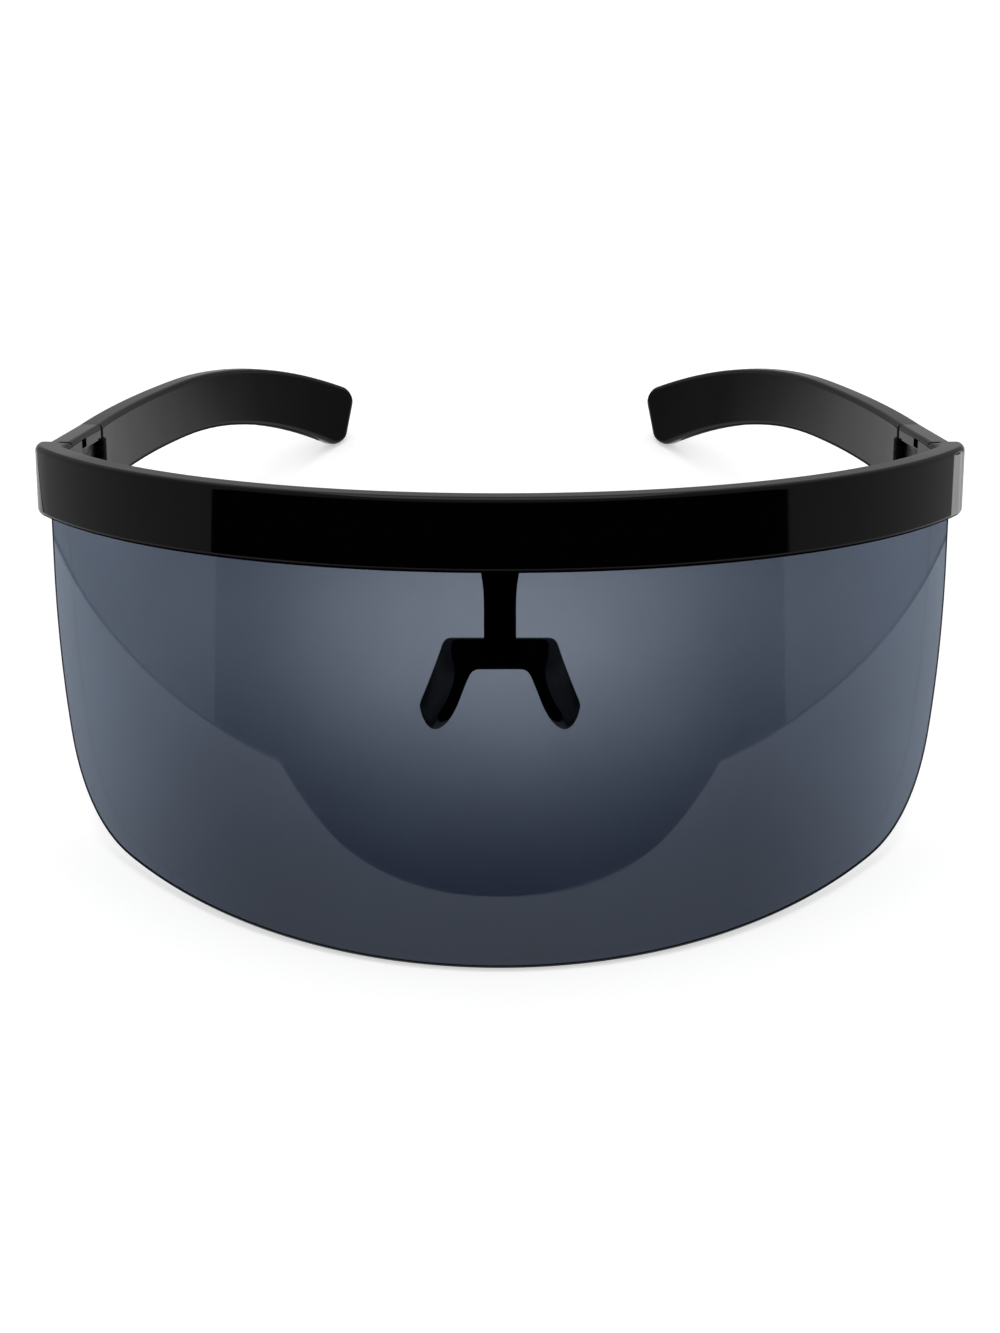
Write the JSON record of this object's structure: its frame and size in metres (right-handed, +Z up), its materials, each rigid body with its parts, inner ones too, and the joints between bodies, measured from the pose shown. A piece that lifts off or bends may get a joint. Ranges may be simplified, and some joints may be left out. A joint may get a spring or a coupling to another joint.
{
  "type": "shield sunglasses",
  "caption": "Shield sunglasses: one wide curved tinted lens hung from a straight black brow bar, with a nose saddle on a stem and two folding temples.",
  "frame": {"origin": "middle of the footprint, on the surface that the glasses stand on with the lens's lower edge and both temple tips", "axes": "+X towards the wearer's left, +Y from the lens towards the temple tips, +Z up; the brow bar leans forward by the resting lean of 17.6 degrees about X"},
  "size_m": [0.156, 0.189, 0.0721],
  "materials": {
    "frame_black": "polished black",
    "lens_tint": "clear grey-blue tint, polished, lighter towards the top",
    "screw_steel": "plain steel",
    "hinge_dark": "black, satin",
    "saddle_rubber": "black, soft, satin"
  },
  "bodies": {
    "front": {"brow_bar": "frame_black", "shield_lens": "lens_tint", "lens_screw_1": "screw_steel", "lens_screw_2": "screw_steel", "lens_screw_3": "screw_steel", "lens_screw_4": "screw_steel", "nose_stem": "frame_black", "nose_screw": "screw_steel", "nose_saddle": "saddle_rubber", "left_end_piece": "frame_black", "left_end_screw": "screw_steel", "left_front_leaf": "hinge_dark", "left_hinge_screw": "hinge_dark", "right_end_piece": "frame_black", "right_end_screw": "screw_steel", "right_front_leaf": "hinge_dark", "right_hinge_screw": "hinge_dark"},
    "left_arm": {"left_temple": "frame_black", "left_temple_leaf": "hinge_dark"},
    "right_arm": {"right_temple": "frame_black", "right_temple_leaf": "hinge_dark"}
  },
  "joints": [
    {"name": "left_temple_fold", "type": "hinge", "parent": "front", "child": "left_arm", "pos_m": [0.07064, -0.00823, 0.04556], "axis": [0, 0.3021, 0.9533], "range_deg": [0, 70]},
    {"name": "right_temple_fold", "type": "hinge", "parent": "front", "child": "right_arm", "pos_m": [-0.07064, -0.00823, 0.04556], "axis": [0, -0.3021, -0.9533], "range_deg": [0, 90]}
  ]
}
